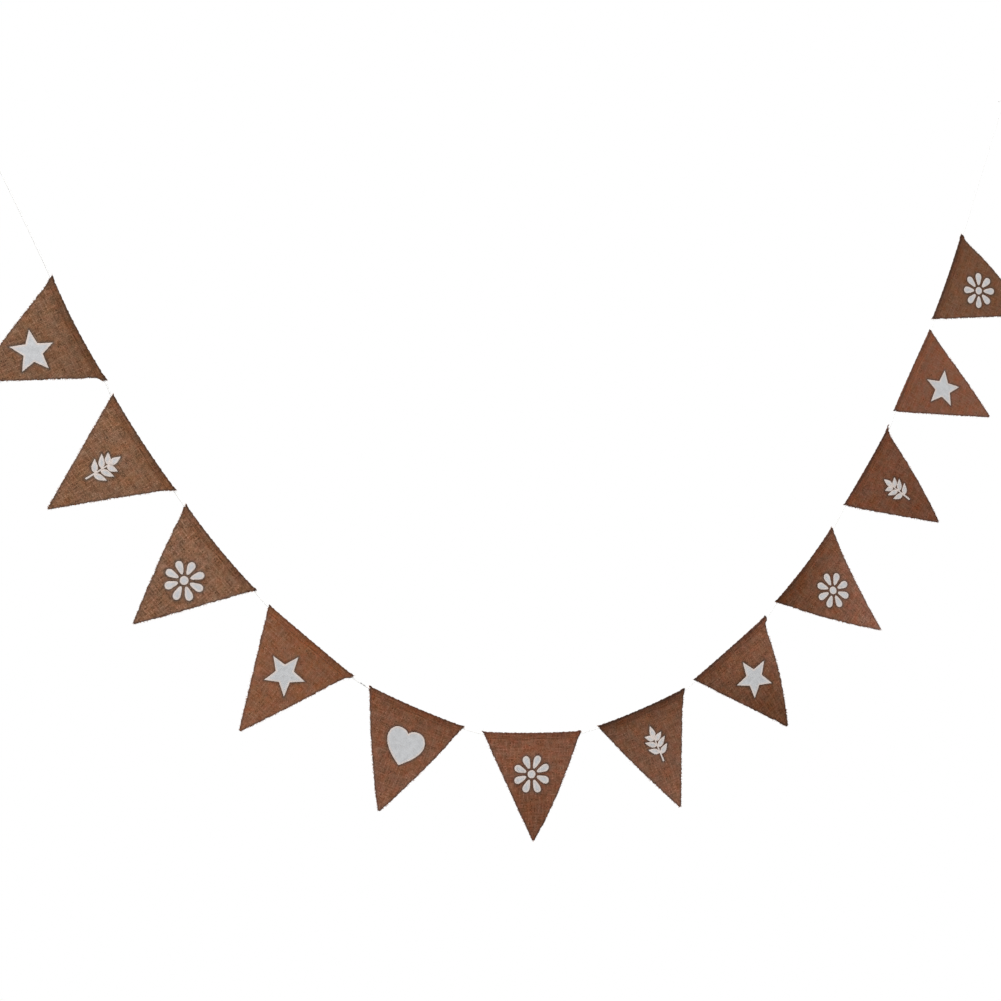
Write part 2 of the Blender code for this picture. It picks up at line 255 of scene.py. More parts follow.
def hang(p, u, s):  # places in metres of the middle of the cloth
    fade = np.clip(cutDistance(p, u, s) / cloth["wanderFrom"], 0, 1) * cloth["wander"]
    first, second, third, fourth = cloth["wanderWaves"]
    u, s = (
        u + fade * np.sin(s / first + p.x) * np.cos(u / second + p.z),
        s + fade * np.sin(u / third - p.x) * np.cos(s / fourth - p.z),
    )
    depth, lifted = alongCloth(s)
    first, second, third = hem["buckleWaves"]
    uneven = (np.sin(u / first + p.x) + np.sin(u / second + p.z) + np.sin(u / third - p.x)) / 3
    even, varied = hem["buckleShares"]
    depth = depth - hem["buckle"] * (even + varied * uneven) * np.sin(turnAngle(s))
    side = 2 * u / p.width
    down = depth / p.height
    free = ease((depth - foldDepth) / (hem["freeDepth"] - foldDepth))
    bent = p.bow * (hem["bowMiddle"] - side**2) + p.twist * side * (hem["twistTop"] + down) + p.curl * down**2
    layer = np.where(s > flapLong + turnLong / 2, 1.0, -1.0)
    even, varied = hem["puckerShares"]
    pucker = np.exp(-(((depth - hem["stitchDepth"]) / hem["puckerWide"]) ** 2)) * hem["pucker"]
    pucker = pucker * (even + varied * np.cos(2 * math.pi * u / hem["puckerPitch"]))
    even, varied = hem["creaseShares"]
    crease = np.exp(-(((depth - hem["creaseDepth"]) / hem["creaseWide"]) ** 2)) * hem["crease"]
    crease = np.where(s > frontStart, crease * (even + varied * np.sin(u / hem["creaseWave"] + p.x)), 0.0)
    out = lifted + bent * free - layer * pucker - crease
    v = depth + p.sag * (1 - side**2) * (1 - down) ** 2
    v = v - hem["pulledRise"] * ease((np.abs(u) - p.width / 2 - hem["pulledFrom"]) / hem["pulledOver"])
    corner = ease((np.abs(side) - hem["cornerFrom"]) / hem["cornerOver"])
    v = v - hem["cornerRise"] * corner * (1 - ease(depth / hem["cornerDepth"]))
    turn = math.radians(p.turn)
    x = p.x + u * math.cos(turn) + v * math.sin(turn)
    z = p.z + u * math.sin(turn) - v * math.cos(turn)
    return np.stack([x, -out, z], -1) * mm


def facing(p, u, s):  # the cloth's outward direction
    nudge = 0.05
    across = hang(p, u + nudge, s) - hang(p, u - nudge, s)
    along = hang(p, u, s + nudge) - hang(p, u, s - nudge)
    out = np.cross(along, across)
    return out / np.linalg.norm(out, axis=-1, keepdims=True)


def weaveHeight(p, u, s, face):  # the yarns' relief on the outer (1) or inner (-1) face
    pitch, turn = cloth["yarnPitch"], 2 * math.pi / cloth["yarnPitch"]
    swells = []
    for index, (along, aside, own) in enumerate([(s, u, p.z), (u, s, p.x)]):
        mixed = cloth["slubMix"] * np.sin(np.round(aside / pitch) * cloth["slubShifts"][index] + own)
        swells.append(1 + cloth["slubs"] * np.sin(along / cloth["slubWaves"][index] + mixed))
    warp, weft = swells
    crossings = cloth["relief"] / 2 * (warp * np.cos(turn * u) + weft * np.cos(turn * s))
    return crossings + face * cloth["alternation"] * np.cos(turn / 2 * u) * np.cos(turn / 2 * s)


def raggedEdge(spans):  # how far a cut edge strays, yarn by yarn and over a few yarns
    bell = np.hanning(cloth["wavyRows"])
    slow = np.convolve(chance.normal(0, 1, len(spans) + len(bell) - 1), bell / np.linalg.norm(bell), "valid")
    strays = cloth["wavy"] * np.clip(slow, -2, 2) + cloth["ragged"] * chance.uniform(-1, 1, len(spans))
    return strays * np.clip(spans / cloth["calmSpan"], 0.1, 1)


def clothOutline(p):  # the rows of the cut sides, with where each side is cut there
    rows, left, right = sideRows(p, round(clothLength(p) / gridStep))
    return rows, left - raggedEdge(right - left), right + raggedEdge(right - left)


def yarnGrid(low, high):
    first, last = np.ceil(np.array(low) / gridStep), np.floor(np.array(high) / gridStep)
    across, along = np.meshgrid(np.arange(first[0], last[0] + 1), np.arange(first[1], last[1] + 1))
    return np.stack([across.ravel(), along.ravel()], -1) * gridStep


def fillOutlines(outlines, inner):  # flat points and triangles inside the outlines, with the inner points
    loops, points = [], []
    for outline in outlines:
        loops.append(list(range(len(points), len(points) + len(outline))))
        points += [Vector(q) for q in outline]
    points += [Vector(q) for q in inner]
    flat, _, faces, *_ = delaunay_2d_cdt(points, [], loops, 1, 1e-5)  # 1 keeps only what lies inside
    flat = np.array([tuple(q) for q in flat])
    faces = np.array(faces)
    a, b, c = (flat[faces[:, i]] for i in range(3))
    clockwise = (b - a)[:, 0] * (c - a)[:, 1] - (b - a)[:, 1] * (c - a)[:, 0] < 0
    faces[clockwise] = faces[clockwise][:, ::-1]
    used, faces = np.unique(faces, return_inverse=True)
    return flat[used], faces.reshape(-1, 3)


def paintedClothShade(p, look, u, s):  # painted shade on the doubled hem and the fold's edge, and painted shading across and down
    depth, _ = alongCloth(s)
    doubled = 1 - ease((depth - hem["hemShadeDepth"]) / hem["hemShadeFade"])[:, None]
    # painted shade along the fold's edge, where the cloth turns away from the light
    folded = look.foldDark * np.exp(-(((s - frontStart + hem["foldShadeAbove"]) / hem["foldShadeWide"]) ** 2))[:, None]
    # painted shading: darker or paler across the pennant and down it
    paintedShading = 1 + look.fadeRight * 2 * u / p.width * cloth["shadingAcross"]
    paintedShading = paintedShading + look.fadeDown * (depth / p.height - cloth["shadingMiddle"])
    tone = np.maximum(paintedShading, cloth["leastTone"])[:, None] ** cloth["shadingWays"]
    tone = tone * (1 - doubled + doubled * (1 - look.hemDark) * np.array(hem["hemShadeTint"]))
    return tone * (1 - folded * hem["foldShadeTint"])


def nearOutlines(flat, outlines):  # distance from each flat point to the nearest outline
    spots = []
    for outline in outlines:
        after = np.roll(outline, -1, axis=0)
        spots += [outline + (after - outline) * share for share in (0, 0.25, 0.5, 0.75)]
    tree = KDTree(sum(len(part) for part in spots))
    for index, spot in enumerate(np.concatenate(spots)):
        tree.insert((*spot, 0), index)
    tree.balance()
    return np.array([tree.find((*q, 0))[2] for q in flat])


def closedSheet(name, p, look, flat, faces, above, below, fromPrint, material):  # round the cloth's middle
    u, s = flat.T
    count = len(flat)
    middle, out = hang(p, u, s), facing(p, u, s)
    points = np.concatenate([middle + out * above[:, None] * mm, middle - out * below[:, None] * mm])
    front = faces[:, ::-1]
    sides = np.concatenate([front[:, [0, 1]], front[:, [1, 2]], front[:, [2, 0]]])
    rim = sides[~np.isin(sides[:, 0] * count + sides[:, 1], sides[:, 1] * count + sides[:, 0])]
    walls = np.stack([rim[:, 1], rim[:, 0], rim[:, 0] + count, rim[:, 1] + count], -1)
    mesh = bpy.data.meshes.new(name)
    mesh.from_pydata(points.tolist(), [], front.tolist() + (faces + count).tolist() + walls.tolist())
    addFlatPlaces(mesh, "clothFlat", np.tile(flat, (2, 1)) * mm)
    uneven = np.full(count, look.uneven)
    measured = {"cutDistance": cutDistance(p, u, s), "printEdge": fromPrint, "uneven": uneven}
    for label, values in measured.items():
        addValues(mesh, label, "FLOAT", np.tile(values, 2))
    colour = np.ones((2 * count, 4))
    # the cloth's colour times its painted shade: darker on the doubled hem and the fold's edge, darker or paler
    # across and down
    colour[:, :3] = np.tile(paintedClothShade(p, look, u, s) * linear(look.colour)[:3], (2, 1))
    soaked = np.exp(-((fromPrint / ink["soakReach"]) ** 2))  # the oil shows on the printed side alone
    colour[:count, :3] *= 1 - soaked[:, None] * ink["soakDark"]
    colourAndShade = mesh.color_attributes.new("clothColour", "FLOAT_COLOR", "POINT")
    colourAndShade.data.foreach_set("color", colour.astype(np.float32).ravel())
    mesh.materials.append(material)
    mesh.shade_smooth()
    return linked(name, mesh)


def makeCloth(name, p, look, printed, material):
    rows, left, right = clothOutline(p)
    top = np.arange(left[0] + gridStep, right[0] - gridStep / 2, gridStep)
    flapEdge = np.stack([top, chance.uniform(0, cloth["ragged"], len(top))], -1)
    outline = np.concatenate([flapEdge, np.stack([right, rows], -1), np.stack([left, rows], -1)[::-1]])
    grid = yarnGrid(outline.min(0), outline.max(0))
    u, s = grid.T
    margin = cloth["margin"]
    inside = (u > np.interp(s, rows, left) + margin) & (u < np.interp(s, rows, right) - margin)
    inside &= (s > margin) & (s < clothLength(p) - margin)
    flat, faces = fillOutlines([outline], grid[inside])
    u, s = flat.T
    body = cloth["thickness"] / 2 - cloth["relief"]
    pinched = np.where(cutDistance(p, u, s) < gridStep / 2, cloth["pinch"], 1.0)
    above = (body + weaveHeight(p, u, s, 1)) * pinched
    below = (body + weaveHeight(p, u, s, -1)) * pinched
    return closedSheet(name, p, look, flat, faces, above, below, nearOutlines(flat, printed), material)


# The printed motifs: a thin skin of ink that follows every yarn under it. Its oil soaks into the yarns
# beside it.
ink = {
    "above": 0.2,
    "below": 0.15,
    "ragged": 0.22,
    "step": 1.6,  # between the points of its outline
    "soakReach": 3.3,
    "soakDark": (0.5, 0.33, 0.13),  # in red, green and blue
    "colour": "#c6bbb5",
    "ridgeColour": "#b5b6b8",  # where it is thick, at the stencil's edge
    "ridge": (1.2, 4.0),  # how far in from the outline
    "missedColour": "#75665c",  # the holes that it misses
    "missed": (0.0, 0.16, 0.3, 1.0),  # from a hole's height, to how much ink there is
    "patchScale": 110.0,
    "patchTone": (0.9, 1.1),
    "roughness": (0.82, 0.58),
    "bump": 0.45,
    "bumpHeight": 0.3,
}


def turned(points, degrees, moved=(0, 0)):
    way = math.radians(degrees)
    return [(x * math.cos(way) - y * math.sin(way) + moved[0], x * math.sin(way) + y * math.cos(way) + moved[1])
            for x, y in points]


def bezierHalf(spans):  # spans of four knots each, mirrored into a closed outline
    half = []
    for knots in spans:
        half += [tuple(q) for q in interpolate_bezier(*(Vector(k) for k in knots), 20)][:-1]
    half.append(spans[-1][-1])
    return half + [(-x, y) for x, y in half[-2:0:-1]]


def heart():
    half = [
        [(0, -23), (4.3, -28.5), (9.6, -30), (16.3, -30)],
        [(16.3, -30), (26, -30), (32.6, -22), (32.6, -11.5)],
        [(32.6, -11.5), (32.6, 6), (13.4, 21), (0, 31)],
    ]
    return [turned(bezierHalf(half), -5)]


def star():
    outer, inner, points = 36, 16, 5
    return [[(math.sin(i * math.pi / points) * r, -math.cos(i * math.pi / points) * r)
             for i, r in enumerate([outer, inner] * points)]]


def leaf(long, wide):
    return bezierHalf([
        [(0, 0), (wide * 0.35, -long * 0.05), (wide * 0.62, -long * 0.28), (wide / 2, -long * 0.48)],
        [(wide / 2, -long * 0.48), (wide * 0.36, -long * 0.72), (wide * 0.12, -long * 0.9), (0, -long)],
    ])


def sprig():
    stem = [(-1.6, 34), (-1.3, 10), (-1.0, -12), (1.0, -12), (1.3, 10), (1.6, 34)]
    outlines = [stem, turned(leaf(22, 10), 0, (0, -11))]
    for height, long in [(-7, 19), (5, 23), (18, 22)]:
        for way in (-1, 1):
            outlines.append(turned(leaf(long, 9.5), way * 56, (way * 0.8, height + way * 1.5)))
    return outlines


def daisy():
    petal = bezierHalf([
        [(0, -10.5), (3, -11), (4, -17), (5.6, -22)],
        [(5.6, -22), (7.8, -29), (4.6, -33.5), (0, -33.5)],
    ])
    middle = [(math.cos(i * math.pi / 16) * 7.2, math.sin(i * math.pi / 16) * 7.2) for i in range(32)]
    return [middle] + [turned(petal, i * 45 + 22.5) for i in range(8)]


motifs = {"heart": heart, "star": star, "sprig": sprig, "daisy": daisy}


def inkedOutline(outline, look):  # stepped to short edges, shaken by the yarns, and laid on the flat cloth
    stepped = []
    for (x0, y0), (x1, y1) in zip(outline, outline[1:] + outline[:1]):
        steps = max(1, round(math.hypot(x1 - x0, y1 - y0) / ink["step"]))
        stepped += [(x0 + (x1 - x0) * i / steps, y0 + (y1 - y0) * i / steps) for i in range(steps)]
    shaken = np.array(stepped) + chance.uniform(-1, 1, (len(stepped), 2)) * ink["ragged"]
    return shaken + [look.across, look.down + frontStart - foldDepth]


def makePrint(name, p, look, outlines, material):
    every = np.concatenate(outlines)
    flat, faces = fillOutlines(outlines, yarnGrid(every.min(0), every.max(0)))
    u, s = flat.T
    surface = cloth["thickness"] / 2 - cloth["relief"] + weaveHeight(p, u, s, 1)
    top, bottom = surface + ink["above"], ink["below"] - surface
    return closedSheet(name, p, look, flat, faces, top, bottom, nearOutlines(flat, outlines), material)


def newTree(name, sockets):
    tree = bpy.data.node_groups.new(name, "GeometryNodeTree")
    tree.interface.new_socket("Geometry", in_out="INPUT", socket_type="NodeSocketGeometry")
    for label, kind in sockets.items():
        tree.interface.new_socket(label, in_out="INPUT", socket_type=kind)
    tree.interface.new_socket("Geometry", in_out="OUTPUT", socket_type="NodeSocketGeometry")
    return tree, addNode(tree, "NodeGroupInput").node.outputs


def grow(name, points, edges, vectors, look, tree, values):  # runs a tree on guide points, keeps the plain mesh
    mesh = bpy.data.meshes.new(name + "_guide")
    mesh.from_pydata(points.tolist(), edges, [])
    for label, ways in vectors.items():
        addValues(mesh, label, "FLOAT_VECTOR", ways)
    addValues(mesh, "clothColour", "FLOAT_COLOR", np.tile(linear(look.colour), len(points)))
    guide = linked(name + "_guide", mesh)
    modifier = guide.modifiers.new("grow", "NODES")
    modifier.node_group = tree
    for item in tree.interface.items_tree:
        if item.in_out == "INPUT" and item.name in values:
            modifier[item.identifier] = values[item.name]
    bpy.context.view_layer.update()
    made = bpy.data.meshes.new_from_object(guide.evaluated_get(bpy.context.evaluated_depsgraph_get()))
    bpy.data.objects.remove(guide)
    made.name = name
    made.shade_smooth()
    return linked(name, made)


# The hem's stitching, a row of short arches of thread on the front and on the flap.
stitch = {
    "pitch": hem["puckerPitch"],
    "length": 3.5,
    "thread": 0.6,  # thicker than real, so that it shows
    "rise": 0.35,
    "inset": 4.0,
    "guideStep": 1.1,
    "colour": "#5c3a26",
    "twistScale": 1500.0,
    "tones": (0.8, 1.15),
    "roughness": (0.7, 0.5),
}


def stitchTree():
    tree, given = newTree("hemStitching", {"Pitch": "NodeSocketFloat", "Middle": "NodeSocketVector",
                                           "Start": "NodeSocketVector", "End": "NodeSocketVector",
                                           "Thread radius": "NodeSocketFloat", "Thread": "NodeSocketMaterial"})
    line = addNode(tree, "GeometryNodeMeshToCurve", {"Mesh": given["Geometry"]})
    spaced = addNode(tree, "GeometryNodeResampleCurve", {"Curve": line, "Length": given["Pitch"]},
                     mode="LENGTH")
    arch = addNode(tree, "GeometryNodeCurveQuadraticBezier",
                   {"Resolution": 4, "Start": given["Start"], "Middle": given["Middle"], "End": given["End"]})
    ring = addNode(tree, "GeometryNodeCurvePrimitiveCircle",
                   {"Resolution": 6, "Radius": given["Thread radius"]})
    one = addNode(tree, "GeometryNodeCurveToMesh", {"Curve": arch, "Profile Curve": ring, "Fill Caps": True})
    along = addNode(tree, "FunctionNodeAlignRotationToVector",
                    {"Vector": addNode(tree, "GeometryNodeInputTangent")}, axis="X")
    outWay = addNode(tree, "GeometryNodeInputNamedAttribute", {"Name": "outWay"}, data_type="FLOAT_VECTOR")
    upright = addNode(tree, "FunctionNodeAlignRotationToVector", {"Rotation": along, "Vector": outWay},
                      axis="Z", pivot_axis="X")
    row = addNode(tree, "GeometryNodeInstanceOnPoints",
                  {"Points": spaced, "Instance": one, "Rotation": upright})
    solid = addNode(tree, "GeometryNodeRealizeInstances", {"Geometry": row})
    done = addNode(tree, "GeometryNodeSetMaterial", {"Geometry": solid, "Material": given["Thread"]})
    addNode(tree, "NodeGroupOutput", {"Geometry": done})
    return tree


def makeStitches(name, p, look, tree, material):
    rows, edges, outs, first = [], [], [], 0
    for s in (frontStart + hem["stitchDepth"] - foldDepth, hem["depth"] - hem["stitchDepth"]):
        left, right = cutSides(p, np.array([s]))
        u = np.arange(left[0] + stitch["inset"], right[0] - stitch["inset"], stitch["guideStep"])
        out = facing(p, u, np.full_like(u, s))
        rows.append(hang(p, u, np.full_like(u, s)) + out * cloth["thickness"] / 2 * mm)
        outs.append(out)
        edges += [(first + i, first + i + 1) for i in range(len(u) - 1)]
        first += len(u)
    half, rise = stitch["length"] / 2 * mm, stitch["rise"] * mm
    values = {"Pitch": stitch["pitch"] * mm, "Start": (-half, 0, -rise), "Middle": (0, 0, rise * 2),
              "End": (half, 0, -rise), "Thread radius": stitch["thread"] / 2 * mm, "Thread": material}
    return grow(name, np.concatenate(rows), edges, {"outWay": np.concatenate(outs)}, look, tree, values)


# The frayed cut edges: a splayed tuft where a yarn ends, and fine fibres that come loose there and on both
# faces.
fray = {
    "tufts": 0.8,  # share of the yarns whose end stands out
    "tuftWidth": 1.2,
    "tuftLength": 1.9,
    "tuftStrands": 5,
    "strandThickness": 0.4,
    "fibres": 0.2,
    "fibreThickness": 0.13,
    "fibreLength": 4.5,
    "rooted": -0.35,  # where they start, as a share of their length
    "taper": 0.3,  # a strand's end against its root
    "roll": 3,  # radians either way round a strand's own length
    "splay": 0.35,
    "least": (0.3, 0.6, 0.6),  # a strand's size along and across, against the lengths above
    "most": (1.5, 1.15, 1.15),
    "stray": 0.4,  # how far they turn from their yarn's own way
    "inset": 0.2,
    "patchScale": 500.0,
    "tones": (1.2, 2.4),  # against the cloth's colour, as the saturation is; painted paler to offset the shade on the thin strands
    "saturation": 1.3,
    "roughness": (1.0, 0.8),
}
fuzz = {
    "count": 520,
    "spare": 3,  # places tried for each one, because some fall outside the cloth
    "keepOff": 3,  # the cut edges
    "frontShare": 0.6,
    "thickness": 0.09,
    "length": 4.5,
    "rise": 0.45,
    "stray": 0.2,
    "tones": (1.2, 2.6),
    "saturation": 1.2,
}


def frayTree():
    tree, given = newTree("frayedYarns", {"Tufts": "NodeSocketFloat", "Tuft width": "NodeSocketFloat",
                                          "Tuft length": "NodeSocketFloat", "Tuft radius": "NodeSocketFloat",
                                          "Fibres": "NodeSocketFloat", "Fibre length": "NodeSocketFloat",
                                          "Fibre radius": "NodeSocketFloat", "Stray": "NodeSocketVector",
                                          "Seed": "NodeSocketInt", "Yarn": "NodeSocketMaterial"})
    yarnWay = addNode(tree, "GeometryNodeInputNamedAttribute", {"Name": "yarnWay"}, data_type="FLOAT_VECTOR")
    against = addNode(tree, "ShaderNodeVectorMath", {0: given["Stray"], 3: -1.0}, operation="SCALE")
    share = addNode(tree, "GeometryNodeSplineParameter")
    taper = addNode(tree, "ShaderNodeMapRange", {0: share, 3: 1.0, 4: fray["taper"]})
    joined = addNode(tree, "GeometryNodeJoinGeometry")
    roll, splay = fray["roll"], fray["splay"]
    kinds = [("Tuft", 2, 0.14, 1.0), ("Fibre", 5, 0.38, 50.0)]  # spans, bend as a share of the length, and seed
    for kind, spans, bend, seed in kinds:
        long, seeded = given[kind + " length"], addNode(tree, "ShaderNodeMath", {0: given["Seed"], 1: seed})
        end = addNode(tree, "ShaderNodeCombineXYZ", {0: long})
        aside = addNode(tree, "ShaderNodeMath", {0: long, 1: bend}, operation="MULTIPLY")
        aside = addNode(tree, "ShaderNodeCombineXYZ", {1: aside})
        middle = addNode(tree, "ShaderNodeVectorMath", {0: end, 1: (0.5, 0.5, 0.5)}, operation="MULTIPLY")
        middle = addNode(tree, "ShaderNodeVectorMath", {0: middle, 1: aside})
        start = addNode(tree, "ShaderNodeVectorMath", {0: end, 3: fray["rooted"]}, operation="SCALE")
        line = addNode(tree, "GeometryNodeCurveQuadraticBezier",
                       {"Resolution": spans, "Start": start, "Middle": middle, "End": end})
        ring = addNode(tree, "GeometryNodeCurvePrimitiveCircle",
                       {"Resolution": 3, "Radius": given[kind + " radius"]})
        one = addNode(tree, "GeometryNodeCurveToMesh",
                      {"Curve": line, "Profile Curve": ring, "Scale": taper, "Fill Caps": True})
        if kind == "Tuft":  # strands side by side, each turned its own way
            count = fray["tuftStrands"]
            apart = addNode(tree, "ShaderNodeMath", {0: given["Tuft width"], 1: 1 / count},
                            operation="MULTIPLY")
            apart = addNode(tree, "ShaderNodeCombineXYZ", {1: apart})
            first = addNode(tree, "ShaderNodeVectorMath", {0: apart, 3: (1 - count) / 2}, operation="SCALE")
            fan = addNode(tree, "GeometryNodeMeshLine",
                          {"Count": count, "Start Location": first, "Offset": apart})
            splayed = addNode(tree, "FunctionNodeRandomValue",
                              {0: (-roll, -splay, -splay), 1: (roll, splay, splay), "Seed": 3},
                              data_type="FLOAT_VECTOR")
            one = addNode(tree, "GeometryNodeInstanceOnPoints",
                          {"Points": fan, "Instance": one, "Rotation": splayed})
            one = addNode(tree, "GeometryNodeRealizeInstances", {"Geometry": one})
        shaken = addNode(tree, "FunctionNodeRandomValue", {0: against, 1: given["Stray"], "Seed": seeded},
                         data_type="FLOAT_VECTOR")
        way = addNode(tree, "ShaderNodeVectorMath", {0: yarnWay, 1: shaken})
        again = addNode(tree, "ShaderNodeMath", {0: seeded, 1: 7.0})
        rolled = addNode(tree, "FunctionNodeRandomValue", {0: (-roll, 0, 0), 1: (roll, 0, 0), "Seed": again},
                         data_type="FLOAT_VECTOR")
        turn = addNode(tree, "FunctionNodeAlignRotationToVector", {"Vector": way}, axis="X")
        turn = addNode(tree, "FunctionNodeRotateRotation", {0: turn, 1: rolled}, rotation_space="LOCAL")
        picked = addNode(tree, "FunctionNodeRandomValue", {"Probability": given[kind + "s"], "Seed": again}, 3,
                         data_type="BOOLEAN")
        size = addNode(tree, "FunctionNodeRandomValue", {0: fray["least"], 1: fray["most"], "Seed": again},
                       data_type="FLOAT_VECTOR")
        row = addNode(tree, "GeometryNodeInstanceOnPoints",
                      {"Points": given["Geometry"], "Selection": picked, "Instance": one, "Rotation": turn,
                       "Scale": size})
        tree.links.new(row, joined.node.inputs[0])
    solid = addNode(tree, "GeometryNodeRealizeInstances", {"Geometry": joined})
    done = addNode(tree, "GeometryNodeSetMaterial", {"Geometry": solid, "Material": given["Yarn"]})
    addNode(tree, "NodeGroupOutput", {"Geometry": done})
    return tree


def yarnEnds(p):  # the flat places where a yarn is cut, and the way that it points there
    pitch = cloth["yarnPitch"]
    flat, ways = [], []
    for s in np.arange(pitch, clothLength(p), pitch):  # weft yarns end at both sides
        left, right = cutSides(p, np.array([s]))
        flat += [(left[0] + fray["inset"], s), (right[0] - fray["inset"], s)]
        ways += [(-1, 0), (1, 0)]
    rows, left, right = sideRows(p, 900)
    for u in np.arange(round(left.min() / pitch) * pitch, right.max(), pitch):  # warp yarns end above and below
        held = rows[(left < u) & (u < right)]
        if len(held):
            flat += [(u, held.max() - fray["inset"]), (u, held.min() + fray["inset"])]
            ways += [(0, 1), (0, -1)]
    return np.array(flat), np.array(ways)


def yarnWays(p, flat, ways):  # unit vectors along the hung cloth
    nudge = 0.2
    step = hang(p, *(flat + ways * nudge).T) - hang(p, *flat.T)
    return step / np.linalg.norm(step, axis=-1, keepdims=True)


def makeFray(name, p, look, tree, material, seed):
    flat, ways = yarnEnds(p)
    values = {"Tufts": fray["tufts"], "Tuft width": fray["tuftWidth"] * mm,
              "Tuft length": fray["tuftLength"] * mm, "Tuft radius": fray["strandThickness"] / 2 * mm,
              "Fibres": fray["fibres"], "Fibre length": fray["fibreLength"] * mm,
              "Fibre radius": fray["fibreThickness"] / 2 * mm, "Stray": (fray["stray"],) * 3, "Seed": seed,
              "Yarn": material}
    vectors = {"yarnWay": yarnWays(p, flat, ways)}
    return grow(name, hang(p, *flat.T), [], vectors, look, tree, values)


def makeFuzz(name, p, look, tree, material, seed):  # loose fibres on the front, the back and the flap
    _, left, right = sideRows(p, 200)
    flat = chance.uniform((left.min(), 0), (right.max(), clothLength(p)), (fuzz["count"] * fuzz["spare"], 2))
    flat = flat[cutDistance(p, *flat.T) > fuzz["keepOff"]][: fuzz["count"]]
    angle = chance.uniform(0, 2 * math.pi, len(flat))
    side = np.where(chance.random(len(flat)) < fuzz["frontShare"], 1, -1)[:, None]
    out = facing(p, *flat.T) * side
    way = yarnWays(p, flat, np.stack([np.cos(angle), np.sin(angle)], -1)) + out * fuzz["rise"]
    values = {"Tufts": 0.0, "Fibres": 1.0, "Fibre length": fuzz["length"] * mm,
              "Fibre radius": fuzz["thickness"] / 2 * mm, "Stray": (fuzz["stray"],) * 3, "Seed": seed,
              "Yarn": material}
    places = hang(p, *flat.T) + out * cloth["thickness"] / 2 * mm
    return grow(name, places, [], {"yarnWay": way}, look, tree, values)


# The cord, and the loop at each end that a hook carries. Both are the same three-strand rope.
cord = {
    "diameter": 2.5,
    "lay": 8.5,
    "ringStep": 0.9,
    "furrow": 0.3,  # from the middle to where two strands meet, as a share of the diameter
    "depth": 3.3,  # below the folded edges
    "routeStep": 6,
    "handleShare": 5,  # a span's curve leaves each end straight for this part of it
    "colour": "#fefdfb",
    "fibres": (900, 46, 0),  # to the metre along it, and round it
    "fibreSpan": (0.25, 0.75),
    "tone": (0.98, 1.02),
    "roughness": (0.95, 0.75),
    "bumpHeight": 0.15,
    "darkSpots": [  # dark spots on the cord: their place in metres, reach and tone
        ((0.6106, 0, -0.8562), 2.5, 0.5),
        ((0.6213, 0, -0.8637), 3.4, 0.08),
        ((0.6262, 0, -0.8672), 4.5, 0.4),
    ],
}
endLoops = {"end_loop_left": (0, 0, 116.2), "end_loop_right": (1909.5, 292.5, 70.3)}  # hook's place and the way
endLoop = {  # its points are along and across
    "hookReach": 36.0,
    "stubEnd": -9.0,
    "stub": [(-4.0, 0.0), (1.5, 0.2), (6.0, 1.5)],
    "eye": [(12.0, 4.4), (23.0, 6.9), (32.0, 6.4), (38.0, 3.7), (40.0, 0.0)],
    "eyeEnd": (6.5, -2.9),
    "knotRadius": 2.7,
    "knotTurns": 2.5,
    "knotFrom": 3.1,
    "knotTo": -3.2,
    "knotSteps": 10,  # for each turn
    "tail": [(-7.0, 4.4), (-15.0, 6.2), (-24.0, 9.4)],
    "tailLift": 0.6,
}


def loopFrame(place):  # X along the loop, Y across it, Z out of the front
    x, z, angle = place
    along = Vector((math.cos(math.radians(angle)), 0, math.sin(math.radians(angle))))
    front = Vector((0, -1, 0))
    turn = Matrix((along, front.cross(along), front)).transposed().to_4x4()
    return Matrix.Translation(Vector((x, 0, z)) * mm - along * endLoop["hookReach"] * mm) @ turn


def cordRoute():  # loop, both mouths of every hem, loop, each with the cord's direction there
    left, right = (loopFrame(place) for place in endLoops.values())
    start = Vector((endLoop["stubEnd"] * mm, 0, 0))
    route = [(left @ start, -left.col[0].to_3d())]
    for p in pennants.values():
        turn = math.radians(p.turn)
        along, down = Vector((math.cos(turn), 0, math.sin(turn))), Vector((math.sin(turn), 0, -math.cos(turn)))
        for side in (-1 - 2 * p.earLeft / p.width, 1 + 2 * p.earRight / p.width):
            place = Vector((p.x, 0, p.z)) + along * side * p.width / 2
            place = place + down * (cord["depth"] + p.sag * (1 - side * side))
            route.append((place * mm, (along - down * 4 * p.sag / p.width * side).normalized()))
    route.append((right @ start, right.col[0].to_3d()))
    line = [route[0][0]]
    for (start, leaving), (end, arriving) in zip(route, route[1:]):
        reach = (end - start).length / cord["handleShare"]
        steps = max(4, round((end - start).length / mm / cord["routeStep"]))
        line += interpolate_bezier(start, start + leaving * reach, end - arriving * reach, end, steps + 1)[1:]
    return line


def loopLine(place):  # stub, up round the eye, back down into turns round the stub, and out as the tail
    turns, eye = endLoop["knotTurns"], endLoop["eye"]
    back = [(x, -y) for x, y in eye[-2::-1]]
    knots = [(x, y, 0) for x, y in [(endLoop["stubEnd"], 0), *endLoop["stub"], *eye, *back, endLoop["eyeEnd"]]]
    steps = round(turns * endLoop["knotSteps"])
    for i in range(steps + 1):
        angle = math.pi + i / steps * turns * 2 * math.pi
        x = endLoop["knotFrom"] + (endLoop["knotTo"] - endLoop["knotFrom"]) * i / steps
        knots.append((x, endLoop["knotRadius"] * math.cos(angle), endLoop["knotRadius"] * math.sin(angle)))
    knots += [(x, y, endLoop["tailLift"]) for x, y in endLoop["tail"]]
    points = [loopFrame(place) @ (Vector(k) * mm) for k in knots]
    line = [points[0]]
    for i in range(len(points) - 1):
        before, after = points[max(i - 1, 0)], points[min(i + 2, len(points) - 1)]
        knots = (points[i], points[i] + (points[i + 1] - before) / 6,
                 points[i + 1] - (after - points[i]) / 6, points[i + 1])
        line += interpolate_bezier(*knots, max(2, math.ceil((points[i + 1] - points[i]).length / mm)) + 1)[1:]
    return line


